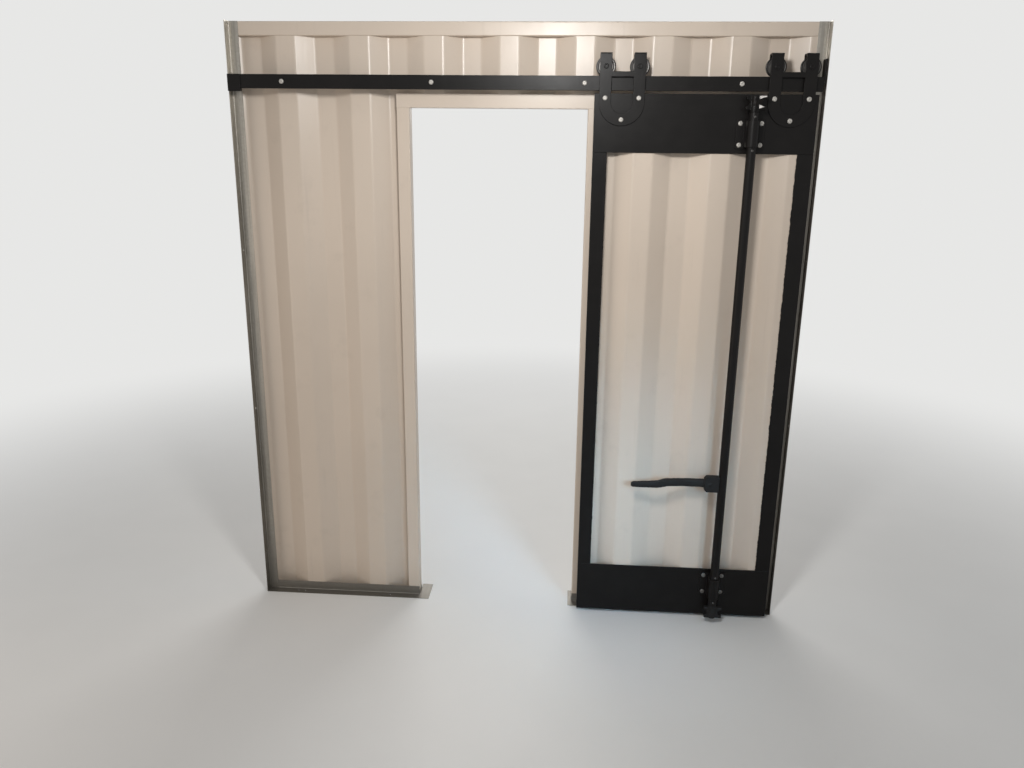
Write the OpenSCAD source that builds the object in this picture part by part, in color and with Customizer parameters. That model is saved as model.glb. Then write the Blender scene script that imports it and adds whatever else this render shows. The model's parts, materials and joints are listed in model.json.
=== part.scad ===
// Corrugated steel partition wall with a framed doorway and a top-hung
// sliding door: a flat steel track on the wall, double-wheel horseshoe hangers
// and a door leaf that keeps its lock rod, cams and forged handle.
// X runs along the wall, Y from front to back, Z up. The origin is the middle
// of the left jamb's foot. The door is drawn rolled open to the right.

/* [Wall] */
// From the left jamb's middle to the wall's left end
wall_left = 648; // [400:1:900]
// From the open leaf's right edge to the wall's right end
wall_room = 30; // [20:1:400]
// From the track's upper edge to the wall's top
over_track = 189; // [160:1:400]
// Side of the square tube of the header, jambs and door head
tube = 50; // [40:1:60]
// Wall of the square tube
tube_wall = 3; // [2:0.5:5]
// Width of the doorway between its jambs
door_w = 666; // [600:1:900]
// Height of the doorway under its head
door_h = 2036; // [1900:1:2200]

/* [Corrugation] */
// Distance from one rib to the next
rib_pitch = 278; // [240:1:300]
// Flat width of a rib's front
rib_crest = 72; // [60:1:80]
// Width of a rib's slanted side
rib_slope = 68; // [50:1:75]
// Depth of the ribs
rib_depth = 36; // [25:1:40]
// Thickness of the corrugated sheet
sheet_t = 2; // [1:0.1:3]
// From the left jamb's middle to the next rib's middle on its right
rib_shift = 119; // [80:1:140]

/* [Angles and feet] */
// Width of each leg of the galvanised angles
angle_leg = 38; // [25:1:45]
// Thickness of the galvanised angles
angle_t = 1.5; // [1:0.1:3]
// Width of the floor plate at the left jamb's foot
foot_left_w = 45; // [12:1:60]
// Width of the floor plate at the right jamb's foot
foot_right_w = 16; // [12:1:60]
// How far the floor plates run back past the wall's middle
foot_back = 62; // [30:1:80]
// Height of the floor plates' upstand on the jambs
foot_up = 20; // [10:1:40]

/* [Track] */
// Height of the track's flat bar
track_h = 50; // [40:1:60]
// Thickness of the track's flat bar
track_t = 8; // [6:0.5:9]
// Length of the spacers between wall and track
standoff = 54; // [50:1:80]
// Diameter of the spacers
spacer_d = 26; // [20:1:36]
// Diameter of the track's bolts
track_bolt_d = 10; // [8:1:12]
// Width of the left end stop
stop_w = 48; // [20:1:60]
// Height of the right end stop above the track
stop_up = 60; // [40:1:90]

/* [Door leaf] */
// How much wider the leaf is than the doorway
leaf_more_w = 124; // [60:1:200]
// How much taller the leaf is than the doorway
leaf_more_h = 38; // [30:1:80]
// Gap between the leaf and the floor
leaf_gap = 12; // [8:1:20]
// Gap between the leaf's top and the track
track_gap = 10; // [6:1:20]
// From the doorway's right side to the open leaf's left edge
leaf_open = 21; // [10:1:60]
// Thickness of the leaf's flat plates and stiles
plate_t = 5; // [3:0.5:6]
// Width of the left stile
stile_left_w = 52; // [40:1:70]
// Width of the right stile
stile_right_w = 57; // [40:1:70]
// Height of the top plate
top_plate_h = 204; // [180:1:240]
// Height of the bottom plate
bottom_plate_h = 209; // [190:1:240]
// From the leaf's left edge to its first rib's middle
leaf_rib = 184; // [150:1:210]

/* [Hangers] */
// From the leaf's edge to the middle of each hanger
hanger_in = 97; // [88:1:120]
// Distance between the two wheels of a hanger
wheel_pitch = 120; // [100:1:130]
// Width of the hanger's strap
strap_w = 42; // [34:1:46]
// Thickness of the hanger's strap
strap_t = 6; // [4:0.5:8]
// From the leaf's top edge down to the strap's upper bolts
bolt_down = 16; // [14:1:30]
// From the leaf's top edge down to the middle of the horseshoe's bend
bend_down = 30; // [24:1:40]
// Height of the cross bar between the straps
cross_h = 18; // [10:1:24]
// Diameter of the wheels over their flanges
wheel_d = 70; // [66:1:74]
// Depth of the wheels' groove
groove = 4; // [3:0.5:6]
// Width of the wheels
wheel_w = 18; // [16:0.5:20]
// Diameter of the axles
axle_d = 10; // [8:1:12]

/* [Lock rod] */
// From the rod's middle to the leaf's right edge
rod_edge = 231; // [210:1:260]
// Outer diameter of the rod
rod_d = 34; // [30:1:38]
// Wall of the rod's tube
rod_wall = 3; // [2:0.5:5]
// From the leaf's front to the rod's middle
rod_off = 46; // [45:1:60]
// From the leaf's lower edge to the lower bracket's middle
bracket_low = 146; // [130:1:180]
// From the leaf's upper edge to the upper bracket's middle
bracket_down = 136; // [125:1:145]
// Distance between a bracket's bolts, both ways
bracket_bolts_in = 74; // [70:1:80]
// Height of the handle's middle above the floor
handle_z = 620; // [500:1:900]
// From the rod's middle to the handle's tip
handle_reach = 360; // [290:1:380]

/* [Hidden] */
$fn = 64;

// Colours
paint = "#d9cfc0";
black = "#1c1b1b";
zinc = "#b9bbbb";
bolt = "#cfccc5";

// Clearances
fit = 0.1;       // round a shaft in its bore
hole_play = 0.5; // round a bolt in its hole, on the diameter
seat = 0.3;      // between curved faces that meet

// Wall, leaf at rest and track, places along X and Z
front = -tube / 2;
jamb_right_x = tube + door_w;
head_top = door_h + tube;
leaf_w = door_w + leaf_more_w;
leaf_h = door_h + leaf_more_h;
leaf_x = jamb_right_x - tube / 2 + leaf_open;
leaf_top = leaf_gap + leaf_h;
track_z = leaf_top + track_gap + track_h / 2;
track_top = track_z + track_h / 2;
track_low = track_z - track_h / 2;
wall_right = leaf_x + leaf_w + wall_room;
wall_h = track_top + over_track;
sheet_top = wall_h - tube;

// Screws of the angles, as shares of their length
screw_d = 5;
corner_screw_low = 0.08;
corner_screw_step = 0.28;
floor_screws = [0.2, 0.8];
screw_z = [for (k = [0:3]) wall_h * (corner_screw_low + corner_screw_step * k)];

// Bolts and nuts
bolt_head_r = 8.75;
bolt_head_t = 4.5;
hanger_bolt_d = 10;
nut_r = 9;
nut_t = 8;
bolt_out = 2;    // end of a track bolt past its nut

// Track: bolts in every second rib that is far enough from both ends
track_back = front - standoff;
track_front = track_back - track_t;
track_end_left = 8;   // from the track's left end to the wall's end
track_end_right = 18; // the same on the right
bolt_step = 2 * rib_pitch;
bolt_edge = 60;
bolt_first = ceil((bolt_edge - wall_left - rib_shift) / bolt_step);
bolt_last = floor((wall_right - bolt_edge - rib_shift) / bolt_step);
track_bolt_x = [for (k = [bolt_first:bolt_last]) rib_shift + k * bolt_step];
stop_under = 10; // height of the left stop below the track
track_left = track_end_left - wall_left;
track_right = wall_right - track_end_right;
stop_cheek = 4;  // thickness of the left stop in front of and behind the track
stop_t = 6;      // thickness of the right stop
stop_deep = 27;  // how far the right stop reaches behind the track

// Planes of the leaf
track_clear = 10;
leaf_front = track_front - track_clear;
leaf_depth = plate_t + rib_depth + sheet_t;
leaf_back = leaf_front + leaf_depth;
sheet_front = leaf_front + plate_t;

// Wheels and hangers
tread_r = wheel_d / 2 - groove;
groove_w = track_t + 2;
groove_flare = 1;
bush_r = axle_d / 2 + 3;
axle_head_r = 9;
axle_head_t = 4;
axle_nut_t = 6;
wheel_y = (track_back + track_front) / 2;
wheel_z = track_top + tread_r + seat;
hanger_x = [leaf_x + hanger_in, leaf_x + leaf_w - hanger_in];
wheel_x = [for (h = hanger_x) for (s = [-1, 1]) h + s * wheel_pitch / 2];
strap_front = leaf_front - strap_t;
wheel_clear = 5;
hook_top = wheel_z + wheel_d / 2 + wheel_clear;
hook_back = wheel_y + wheel_w / 2 + wheel_clear;
hook_drop = strap_w / 2;
bend_z = leaf_top - bend_down;
cross_z = track_top - groove;
hanger_bolt = [[-wheel_pitch / 2, leaf_top - bolt_down], [wheel_pitch / 2, leaf_top - bolt_down],
    [0, bend_z - wheel_pitch / 2]];

// Cams: a stem on the rod's end and a plate with two horns on each side
cam_h = 56;
cam_short = 32;
cam_long = 40;
cam_t = 18;
cam_foot = 8;    // plain stem between the rod and the plate
cam_horn = 12;   // height of each horn
cam_top_in = 8;  // from the leaf's upper edge to the upper cam's end
cam_low_in = 14; // from the leaf's lower edge to the lower cam's end
cam_notch = (cam_h - cam_foot - 2 * cam_horn) / 2;
cam_hook = 5;    // how far the long horns close round their notch

// Lock rod
rod_x = leaf_x + leaf_w - rod_edge;
rod_y = leaf_front - rod_off;
rod_r = rod_d / 2;
rod_low = leaf_gap + cam_low_in + cam_h;
rod_high = leaf_top - cam_top_in - cam_h;
pin_d = 8;
pin_out = 3;     // how far the pins stand out of the rod
pin_step = 57;   // from a bracket's middle to the pins above and below it

// Brackets
bracket_t = 5;
bracket_edge = 14;
bracket_w = bracket_bolts_in + 2 * bracket_edge;
bracket_z = [leaf_gap + bracket_low, leaf_top - bracket_down];
bearing_w = 44;
bearing_h = 90;

// Handle and its hub
hub_w = 58;
hub_h = 64;
hub_t = 30;
hub_cut = 10;    // chamfer of the hub's left corners
hub_in = 14;     // from the rod's middle to the hub's right side
hub_x = rod_x - hub_in - hub_w;
arm_top = 20;    // upper edge of the handle's arm at the hub, above its middle
arm_low = 15;    // lower edge of the handle's arm at the hub, below its middle
arm_fall = 3;    // how far both edges come down from the hub to the step
arm_t = 22;
step_x = 238;    // from the rod's middle to the middle of the step
step_top = 46;   // length of the step on the upper edge
step_low = 26;   // length of the step on the lower edge
grip_top = 4;    // upper edge of the grip at the step, above the handle's middle
grip_h = 30;     // height of the grip at the step
tip_h = 25;      // height of the grip at its tip
grip_t = 17;

// Square tube from end to end along its own Z
module square_tube(length)
    linear_extrude(length)
        difference() {
            square(tube, center = true);
            square(tube - 2 * tube_wall, center = true);
        }

// Front of the ribs at x, for ribs that are centred on c; d trims the crest
function rib_y(x, c, d) =
    let (u = abs((x - c) - rib_pitch * round((x - c) / rib_pitch)))
    rib_depth * min(1, max(0, (u - rib_crest / 2 + d) / rib_slope));

// Corners of one face of the sheet from xa to xb, at depth y
function rib_line(xa, xb, c, y, d) =
    let (k0 = floor((xa - c) / rib_pitch), k1 = ceil((xb - c) / rib_pitch),
        bend = [-rib_crest / 2 - rib_slope + d, -rib_crest / 2 + d,
                rib_crest / 2 - d, rib_crest / 2 + rib_slope - d])
    concat([[xa, y + rib_y(xa, c, d)]],
        [for (k = [k0:k1]) for (b = bend) let (x = c + k * rib_pitch + b)
            if (x > xa + 0.01 && x < xb - 0.01) [x, y + rib_y(x, c, d)]],
        [[xb, y + rib_y(xb, c, d)]]);

function flip(v) = [for (i = [len(v) - 1:-1:0]) v[i]];

// Corrugated sheet from xa to xb and za to zb, its ribs' fronts at y
module ribbed_sheet(xa, xb, za, zb, c, y) {
    d = sheet_t * tan(atan(rib_depth / rib_slope) / 2);
    translate([0, 0, za])
        linear_extrude(zb - za)
            polygon(concat(rib_line(xa, xb, c, y, 0), flip(rib_line(xa, xb, c, y + sheet_t, d))));
}

// Cylinder along Y from ya to yb
module bar_y(x, z, ya, yb, r)
    translate([x, yb, z])
        rotate([90, 0, 0])
            cylinder(h = yb - ya, r = r);

// Box between two corners
module block(a, b)
    translate(a)
        cube(b - a);

// Holes for the track's bolts in the wall
module track_bolt_holes()
    for (x = track_bolt_x)
        bar_y(x, track_z, track_front - 1, tube, (track_bolt_d + hole_play) / 2);

module header()
    color(paint)
        translate([-wall_left, 0, wall_h - tube / 2])
            rotate([0, 90, 0])
                square_tube(wall_left + wall_right);

module wall_sheet_left()
    color(paint)
        difference() {
            ribbed_sheet(-wall_left, -tube / 2, 0, sheet_top, rib_shift, front);
            track_bolt_holes();
        }

module wall_sheet_over_door()
    color(paint)
        difference() {
            ribbed_sheet(-tube / 2, jamb_right_x + tube / 2, head_top, sheet_top, rib_shift, front);
            track_bolt_holes();
        }

module wall_sheet_right()
    color(paint)
        difference() {
            ribbed_sheet(jamb_right_x + tube / 2, wall_right, 0, sheet_top, rib_shift, front);
            track_bolt_holes();
        }

// Jamb: a square tube with a welded plate that closes its foot
module jamb(x)
    color(paint)
        translate([x, 0, 0])
            difference() {
                block([-tube / 2, -tube / 2, 0], [tube / 2, tube / 2, door_h]);
                block([tube_wall - tube / 2, tube_wall - tube / 2, tube_wall],
                    [tube / 2 - tube_wall, tube / 2 - tube_wall, door_h + 1]);
            }

module jamb_left()
    jamb(0);

module jamb_right()
    jamb(jamb_right_x);

module door_head()
    color(paint)
        translate([-tube / 2, 0, door_h + tube / 2])
            rotate([0, 90, 0])
                square_tube(door_w + 2 * tube);

// Turns a right-handed piece to face the other side
module facing(side)
    if (side > 0)
        children();
    else
        mirror([1, 0, 0])
            children();

// Corner angle: one leg on the wall, the other forward along the side wall
module corner_angle(x, side)
    color(zinc)
        translate([x, front, 0])
            facing(side)
                difference() {
                    union() {
                        block([0, -angle_t, 0], [angle_leg, 0, wall_h]);
                        block([0, -angle_leg, 0], [angle_t, 0, wall_h]);
                    }
                    for (z = screw_z)
                        translate([-1, -angle_leg / 2, z])
                            rotate([0, 90, 0])
                                cylinder(h = angle_t + 2, d = screw_d);
                }

module corner_angle_left()
    corner_angle(-wall_left, 1);

module corner_angle_right()
    corner_angle(wall_right, -1);

// Base angle: upright on the wall, floor leg forward, with two floor screws
module base_angle(xa, xb, leg_a, leg_b)
    color(zinc)
        difference() {
            union() {
                block([xa, front - angle_t, 0], [xb, front, angle_leg]);
                block([leg_a, front - angle_leg, 0], [leg_b, front - angle_t, angle_t]);
            }
            for (t = floor_screws)
                translate([xa + t * (xb - xa), front - angle_leg / 2, -1])
                    cylinder(h = angle_t + 2, d = screw_d);
        }

module base_angle_left()
    base_angle(angle_leg - wall_left, tube / 2, angle_t - wall_left, tube / 2);

module base_angle_right()
    base_angle(jamb_right_x - tube / 2, wall_right - angle_leg,
        jamb_right_x - tube / 2, wall_right - angle_t);

// Floor plate at a jamb's foot, with a low upstand on the jamb
module foot_plate(x, side, w)
    color(zinc)
        translate([x, 0, 0])
            facing(side) {
                block([0, front - angle_leg, 0], [w, foot_back, angle_t]);
                block([0, -tube / 2, 0], [angle_t, tube / 2, foot_up]);
            }

module foot_plate_left()
    foot_plate(tube / 2, 1, foot_left_w);

module foot_plate_right()
    foot_plate(jamb_right_x - tube / 2, -1, foot_right_w);

module track()
    color(black)
        difference() {
            block([track_left, track_front, track_low], [track_right, track_back, track_top]);
            track_bolt_holes();
        }

module track_spacers()
    color(black)
        for (x = track_bolt_x)
            difference() {
                bar_y(x, track_z, track_back, front, spacer_d / 2);
                bar_y(x, track_z, track_back - 1, front + 1, (track_bolt_d + hole_play) / 2);
            }

// Bolt along Y: a low round head on ya and a shank to yb
module bolt_y(x, z, ya, yb, d, head_r, head_t) {
    bar_y(x, z, ya - head_t, ya, head_r);
    bar_y(x, z, ya - head_t / 2, yb, d / 2);
}

// Hexagonal nut along Y, its back at y
module nut_y(x, z, y, t)
    translate([x, y, z])
        rotate([90, 0, 0])
            cylinder(h = t, r = nut_r, $fn = 6);

module track_bolts()
    color(bolt)
        for (x = track_bolt_x) {
            bolt_y(x, track_z, track_front, front + sheet_t + nut_t + bolt_out, track_bolt_d,
                bolt_head_r, bolt_head_t);
            nut_y(x, track_z, front + sheet_t + nut_t, nut_t);
        }

// Left end stop: a clamp round the track's front, lower edge and back
module end_stop_left()
    color(black)
        difference() {
            block([track_left, track_front - stop_cheek, track_low - stop_under],
                [track_left + stop_w, track_back + stop_cheek, track_top]);
            block([track_left - 1, track_front, track_low],
                [track_left + stop_w + 1, track_back, track_top + 1]);
        }

// Right end stop: an upright plate against the end of the track
module end_stop_right()
    color(black)
        block([track_right, track_front, track_z],
            [track_right + stop_t, track_back + stop_deep, track_top + stop_up]);

// Leaf: plates in front, each bent back along the leaf's outer edge
module leaf_top_plate()
    color(black) {
        block([leaf_x, leaf_front, leaf_top - top_plate_h], [leaf_x + leaf_w, sheet_front, leaf_top]);
        block([leaf_x, leaf_front, leaf_top - plate_t], [leaf_x + leaf_w, leaf_back, leaf_top]);
    }

module leaf_bottom_plate()
    color(black) {
        block([leaf_x, leaf_front, leaf_gap], [leaf_x + leaf_w, sheet_front, leaf_gap + bottom_plate_h]);
        block([leaf_x, leaf_front, leaf_gap], [leaf_x + leaf_w, leaf_back, leaf_gap + plate_t]);
    }

// Stile: a flat strip between the plates and a side leg behind all three
module stile(x, side, w)
    color(black)
        translate([x, 0, 0])
            facing(side) {
                block([0, leaf_front, leaf_gap + bottom_plate_h],
                    [w, sheet_front, leaf_top - top_plate_h]);
                block([0, sheet_front, leaf_gap + plate_t], [plate_t, leaf_back, leaf_top - plate_t]);
            }

module leaf_stile_left()
    stile(leaf_x, 1, stile_left_w);

module leaf_stile_right()
    stile(leaf_x + leaf_w, -1, stile_right_w);

module leaf_sheet()
    color(paint)
        ribbed_sheet(leaf_x + plate_t, leaf_x + leaf_w - plate_t, leaf_gap + plate_t,
            leaf_top - plate_t, leaf_x + leaf_rib, sheet_front);

// Outline of the horseshoe strap, its middle at x = 0
module horseshoe() {
    outer = wheel_pitch / 2 + strap_w / 2;
    inner = wheel_pitch / 2 - strap_w / 2;
    difference() {
        union() {
            translate([0, bend_z])
                circle(r = outer, $fn = 96);
            translate([-outer, bend_z])
                square([2 * outer, hook_top + strap_t - bend_z]);
        }
        translate([0, bend_z])
            circle(r = inner, $fn = 96);
        translate([-inner, bend_z])
            square([2 * inner, cross_z - bend_z]);
        translate([-inner, cross_z + cross_h])
            square([2 * inner, hook_top]);
    }
}

// Hanger: a flat horseshoe whose two tops fold back over the wheels
module hanger(x)
    color(black)
        translate([x, 0, 0])
            difference() {
                union() {
                    translate([0, leaf_front, 0])
                        rotate([90, 0, 0])
                            linear_extrude(strap_t)
                                horseshoe();
                    for (s = [-1, 1])
                        translate([s * wheel_pitch / 2 - strap_w / 2, 0, 0]) {
                            block([0, strap_front, hook_top],
                                [strap_w, hook_back + strap_t, hook_top + strap_t]);
                            block([0, hook_back, wheel_z - hook_drop],
                                [strap_w, hook_back + strap_t, hook_top + strap_t]);
                        }
                }
                for (b = hanger_bolt)
                    bar_y(b[0], b[1], strap_front - 1, leaf_front + 1, (hanger_bolt_d + hole_play) / 2);
                for (s = [-1, 1])
                    bar_y(s * wheel_pitch / 2, wheel_z, strap_front - 1, hook_back + strap_t + 1,
                        (axle_d + hole_play) / 2);
            }

module hanger_left()
    hanger(hanger_x[0]);

module hanger_right()
    hanger(hanger_x[1]);

module hanger_bolts()
    color(bolt)
        for (x = hanger_x)
            for (b = hanger_bolt)
                bolt_y(x + b[0], b[1], strap_front, leaf_front, hanger_bolt_d, bolt_head_r, bolt_head_t);

// Axle: head on the strap, bushes on both sides of the wheel, nut behind
module wheel_axles()
    color(black)
        for (x = wheel_x) {
            bolt_y(x, wheel_z, strap_front, hook_back + strap_t + axle_nut_t, axle_d,
                axle_head_r, axle_head_t);
            bar_y(x, wheel_z, leaf_front, wheel_y - wheel_w / 2 - seat, bush_r);
            bar_y(x, wheel_z, wheel_y + wheel_w / 2 + seat, hook_back, bush_r);
            nut_y(x, wheel_z, hook_back + strap_t + axle_nut_t, axle_nut_t);
        }

// Wheel: a disc with a groove that rides on the track's top edge
module wheel(x)
    color(black)
        translate([x, wheel_y, wheel_z])
            rotate([90, 0, 0])
                rotate_extrude($fn = 96)
                    polygon([
                        [axle_d / 2 + fit, -wheel_w / 2], [wheel_d / 2, -wheel_w / 2],
                        [wheel_d / 2, -groove_w / 2 - groove_flare], [tread_r, -groove_w / 2],
                        [tread_r, groove_w / 2], [wheel_d / 2, groove_w / 2 + groove_flare],
                        [wheel_d / 2, wheel_w / 2], [axle_d / 2 + fit, wheel_w / 2]]);

module wheel_1()
    wheel(wheel_x[0]);

module wheel_2()
    wheel(wheel_x[1]);

module wheel_3()
    wheel(wheel_x[2]);

module wheel_4()
    wheel(wheel_x[3]);

// Bracket: a bolted plate with a bearing block round the rod
module bracket(z)
    color(black)
        difference() {
            union() {
                block([rod_x - bracket_w / 2, leaf_front - bracket_t, z - bracket_w / 2],
                    [rod_x + bracket_w / 2, leaf_front, z + bracket_w / 2]);
                block([rod_x - bearing_w / 2, rod_y, z - bearing_h / 2],
                    [rod_x + bearing_w / 2, leaf_front - bracket_t, z + bearing_h / 2]);
                translate([rod_x, rod_y, z - bearing_h / 2])
                    cylinder(h = bearing_h, d = bearing_w);
            }
            translate([rod_x, rod_y, z - bracket_w])
                cylinder(h = 2 * bracket_w, r = rod_r + fit);
            for (s = [-1, 1])
                for (t = [-1, 1])
                    bar_y(rod_x + s * bracket_bolts_in / 2, z + t * bracket_bolts_in / 2,
                        leaf_front - bracket_t - 1, leaf_front + 1, (hanger_bolt_d + hole_play) / 2);
        }

module upper_bracket()
    bracket(bracket_z[1]);

module lower_bracket()
    bracket(bracket_z[0]);

module bracket_bolts()
    color(bolt)
        for (z = bracket_z)
            for (s = [-1, 1])
                for (t = [-1, 1])
                    bolt_y(rod_x + s * bracket_bolts_in / 2, z + t * bracket_bolts_in / 2,
                        leaf_front - bracket_t, leaf_front, hanger_bolt_d, bolt_head_r, bolt_head_t);

// Rod: a tube with cross pins above and below each bracket
module lock_rod()
    color(black) {
        translate([rod_x, rod_y, rod_low])
            difference() {
                cylinder(h = rod_high - rod_low, r = rod_r);
                translate([0, 0, -1])
                    cylinder(h = rod_high - rod_low + 2, r = rod_r - rod_wall);
            }
        for (z = bracket_z)
            for (s = [-1, 1])
                bar_y(rod_x, z + s * pin_step, rod_y - rod_r - pin_out, rod_y + rod_r + pin_out, pin_d / 2);
    }

// Cam, its stem's foot at z and its horns' side of the rod up or down
module cam(z, side)
    color(black)
        translate([rod_x, rod_y, z])
            rotate([side > 0 ? 0 : 180, 0, 0])
                union() {
                    cylinder(h = cam_h, r = rod_r);
                    intersection() {
                        translate([0, cam_t / 2, 0])
                            rotate([90, 0, 0])
                                linear_extrude(cam_t)
                                    cam_plate();
                        translate([(cam_long - cam_short) / 2, 0, 0])
                            cylinder(h = cam_h, r = (cam_long + cam_short) / 2);
                    }
                }

// Outline of a cam's plate: a round notch in each side leaves two horns there
module cam_plate()
    difference() {
        translate([-cam_short, cam_foot])
            square([cam_long + cam_short, cam_h - cam_foot]);
        translate([-cam_short, cam_foot + cam_horn + cam_notch])
            circle(r = cam_notch);
        translate([cam_long - cam_hook, cam_foot + cam_horn + cam_notch])
            circle(r = cam_notch);
    }

module upper_cam()
    cam(rod_high, 1);

module lower_cam()
    cam(rod_low, -1);

// Hub: a chamfered block on the rod's left side
module handle_hub()
    color(black)
        difference() {
            translate([hub_x, rod_y + hub_t / 2, handle_z - hub_h / 2])
                rotate([90, 0, 0])
                    linear_extrude(hub_t)
                        polygon([[hub_cut, 0], [hub_w, 0], [hub_w, hub_h], [hub_cut, hub_h],
                            [0, hub_h - hub_cut], [0, hub_cut]]);
            translate([rod_x, rod_y, handle_z - hub_h])
                cylinder(h = 2 * hub_h, r = rod_r + seat);
        }

// Handle: a forged bar, thick at the hub, with a long step down to the grip
module handle() {
    tip = rod_x - handle_reach;
    mid = rod_x - step_x;
    grip_low = grip_top - grip_h;
    color(black)
        intersection() {
            translate([0, rod_y + arm_t / 2, handle_z])
                rotate([90, 0, 0])
                    linear_extrude(arm_t)
                        polygon([[hub_x, -arm_low], [hub_x, arm_top],
                            [mid + step_top / 2, arm_top - arm_fall], [mid - step_top / 2, grip_top],
                            [tip, grip_low + tip_h], [tip, grip_low],
                            [mid - step_low / 2, grip_low], [mid + step_low / 2, -arm_low - arm_fall]]);
            translate([0, 0, handle_z - hub_h])
                linear_extrude(2 * hub_h)
                    polygon([[hub_x, rod_y - arm_t / 2], [hub_x, rod_y + arm_t / 2],
                        [mid + step_top / 2, rod_y + arm_t / 2], [mid - step_top / 2, rod_y + grip_t / 2],
                        [tip, rod_y + grip_t / 2], [tip, rod_y - grip_t / 2],
                        [mid - step_top / 2, rod_y - grip_t / 2], [mid + step_top / 2, rod_y - arm_t / 2]]);
        }
}

header();
wall_sheet_left();
wall_sheet_over_door();
wall_sheet_right();
jamb_left();
jamb_right();
door_head();
corner_angle_left();
corner_angle_right();
base_angle_left();
base_angle_right();
foot_plate_left();
foot_plate_right();
track();
track_spacers();
track_bolts();
end_stop_left();
end_stop_right();
leaf_top_plate();
leaf_bottom_plate();
leaf_stile_left();
leaf_stile_right();
leaf_sheet();
hanger_left();
hanger_right();
hanger_bolts();
wheel_axles();
upper_bracket();
lower_bracket();
bracket_bolts();
wheel_1();
wheel_2();
wheel_3();
wheel_4();
lock_rod();
upper_cam();
lower_cam();
handle_hub();
handle();
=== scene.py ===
import json
import math

import bmesh
import bpy
from bpy.props import FloatProperty, FloatVectorProperty, IntProperty, PointerProperty
from mathutils import Matrix, Vector, noise

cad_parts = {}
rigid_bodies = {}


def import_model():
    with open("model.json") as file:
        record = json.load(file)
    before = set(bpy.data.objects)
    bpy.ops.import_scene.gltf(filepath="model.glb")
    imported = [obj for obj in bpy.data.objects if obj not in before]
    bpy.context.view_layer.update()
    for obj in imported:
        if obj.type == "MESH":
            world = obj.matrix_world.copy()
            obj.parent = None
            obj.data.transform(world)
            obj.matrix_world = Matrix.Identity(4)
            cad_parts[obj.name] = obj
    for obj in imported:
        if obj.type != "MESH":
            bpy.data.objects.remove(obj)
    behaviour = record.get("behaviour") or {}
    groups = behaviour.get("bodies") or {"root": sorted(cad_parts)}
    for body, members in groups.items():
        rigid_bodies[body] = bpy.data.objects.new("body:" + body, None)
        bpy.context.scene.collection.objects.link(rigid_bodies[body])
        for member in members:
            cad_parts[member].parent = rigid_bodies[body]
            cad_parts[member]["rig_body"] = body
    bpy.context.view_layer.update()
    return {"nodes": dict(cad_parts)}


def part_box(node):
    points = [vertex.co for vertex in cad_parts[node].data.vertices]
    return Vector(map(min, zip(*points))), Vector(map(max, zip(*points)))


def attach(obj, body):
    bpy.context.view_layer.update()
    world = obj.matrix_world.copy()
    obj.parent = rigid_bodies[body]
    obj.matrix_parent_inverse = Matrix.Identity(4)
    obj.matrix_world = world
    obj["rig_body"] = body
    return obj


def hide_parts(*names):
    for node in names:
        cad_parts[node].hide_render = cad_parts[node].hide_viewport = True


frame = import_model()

NODES = frame["nodes"]

# Lengths in metres that several pieces share
SHANK_RADIUS = 0.005     # bolts and wheel axles
LONG_EDGE = 0.1          # the shortest edge that counts as a fold or a corner line
NEAR = 1e-4              # how close to a plane a vertex has to lie to count as on it
SEAM_GAP = 2e-6          # vertices closer than this are one

# Radii of the worn edges
CUT_EDGE = 0.0010        # flat bar and hangers
PLATE_EDGE = 0.0012      # plates and stiles of the leaf
ROD_EDGE = 0.0006
BRACKET_EDGE = 0.0014
FORGED_EDGE = 0.0022
HUB_EDGE = 0.0024
ZINC_EDGE = 0.0004       # thin galvanised sheet
HANGER_BEND = 0.0055     # the bend over the wheels

# Steps round a turned piece
HEAD_STEPS = 36          # bolt heads, nuts and washers
AXLE_STEPS = 40
WHEEL_STEPS = 72

# Places of the angles' screws, as shares of the angle's length
CORNER_SCREWS = tuple(0.08 + 0.28 * k for k in range(4))
BASE_SCREWS = (0.2, 0.8)

bl_info = {
    "name": "Corrugated Wall with a Sliding Door",
    "version": (1, 0, 0),
    "blender": (4, 5, 0),
    "location": "View3D > Sidebar > Sliding Door",
    "description": "Paint, zinc, fastenings and a forged handle for a corrugated steel wall with a hung door",
    "category": "Object",
}


# Shader maths

class Sock:
    """A node's output in a Python expression; each operator adds one Math node."""

    def __init__(self, finish, socket):
        self.finish = finish
        self.socket = socket

    def math(self, operation, *values):
        sockets = dict(enumerate(values))
        return self.finish.add("ShaderNodeMath", {"operation": operation}, sockets)

    def __add__(self, other):
        return self.math("ADD", self, other)

    def __radd__(self, other):
        return self.math("ADD", other, self)

    def __sub__(self, other):
        return self.math("SUBTRACT", self, other)

    def __rsub__(self, other):
        return self.math("SUBTRACT", other, self)

    def __mul__(self, other):
        return self.math("MULTIPLY", self, other)

    def __rmul__(self, other):
        return self.math("MULTIPLY", other, self)

    def __abs__(self):
        return self.math("ABSOLUTE", self)

    def top(self, other):
        return self.math("MAXIMUM", self, other)

    def low(self, other):
        return self.math("MINIMUM", self, other)


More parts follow.
